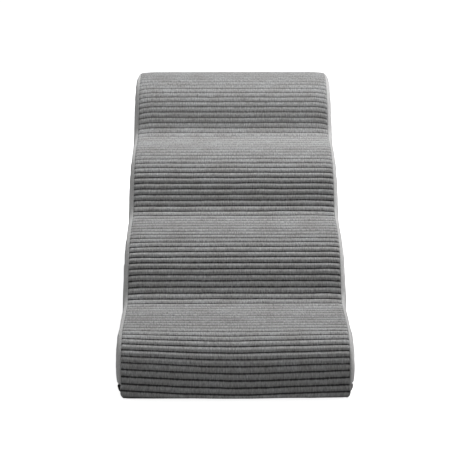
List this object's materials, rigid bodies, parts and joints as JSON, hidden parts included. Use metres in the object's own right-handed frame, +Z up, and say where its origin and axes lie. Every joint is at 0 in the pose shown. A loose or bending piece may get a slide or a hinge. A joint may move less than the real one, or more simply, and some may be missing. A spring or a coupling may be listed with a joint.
{
  "type": "pet ramp",
  "caption": "Foam pet ramp with rolling wave steps under a ribbed fabric cover that zips off above a non-slip base.",
  "frame": {"origin": "on the floor at the middle of the footprint", "axes": "X across the ramp, +Y from the low front end to the high back end, +Z up"},
  "size_m": [0.4, 0.7529, 0.3972],
  "materials": {
    "ribbed_fabric": "wide-wale corduroy with a short matt pile",
    "plain_fabric": "plain short-pile fabric",
    "core_foam": "open-cell foam",
    "comfort_foam": "soft open-cell foam",
    "liner_cloth": "thin non-woven cloth",
    "base_fabric": "black cloth with moulded non-slip studs",
    "zip_tape": "woven tape",
    "zip_coil": "nylon coil",
    "zip_metal": "black painted die-cast metal"
  },
  "bodies": {
    "ramp_body": {"foam_core": "core_foam", "foam_comfort_layer": "comfort_foam", "inner_liner": "liner_cloth", "top_panel": "ribbed_fabric", "left_side_panel": "plain_fabric", "right_side_panel": "plain_fabric", "back_panel": "plain_fabric", "bottom_panel": "base_fabric", "zip_tape_upper": "zip_tape", "zip_tape_lower": "zip_tape", "zip_coil_upper": "zip_coil", "zip_coil_lower": "zip_coil", "zip_stop_front": "zip_metal", "zip_stop_end": "zip_metal"},
    "zip_slider": {"zip_slider_body": "zip_metal"},
    "zip_pull": {"zip_pull_tab": "zip_metal"}
  },
  "joints": [
    {"name": "zip_slider_travel", "type": "slide", "parent": "ramp_body", "child": "zip_slider", "axis": [0, 1, 0], "range_m": [0, 0.7]},
    {"name": "zip_pull_swing", "type": "hinge", "parent": "zip_slider", "child": "zip_pull", "pos_m": [-0.19795, -0.36146, 0.02], "axis": [0, 0, 1], "range_deg": [0, 170]}
  ]
}
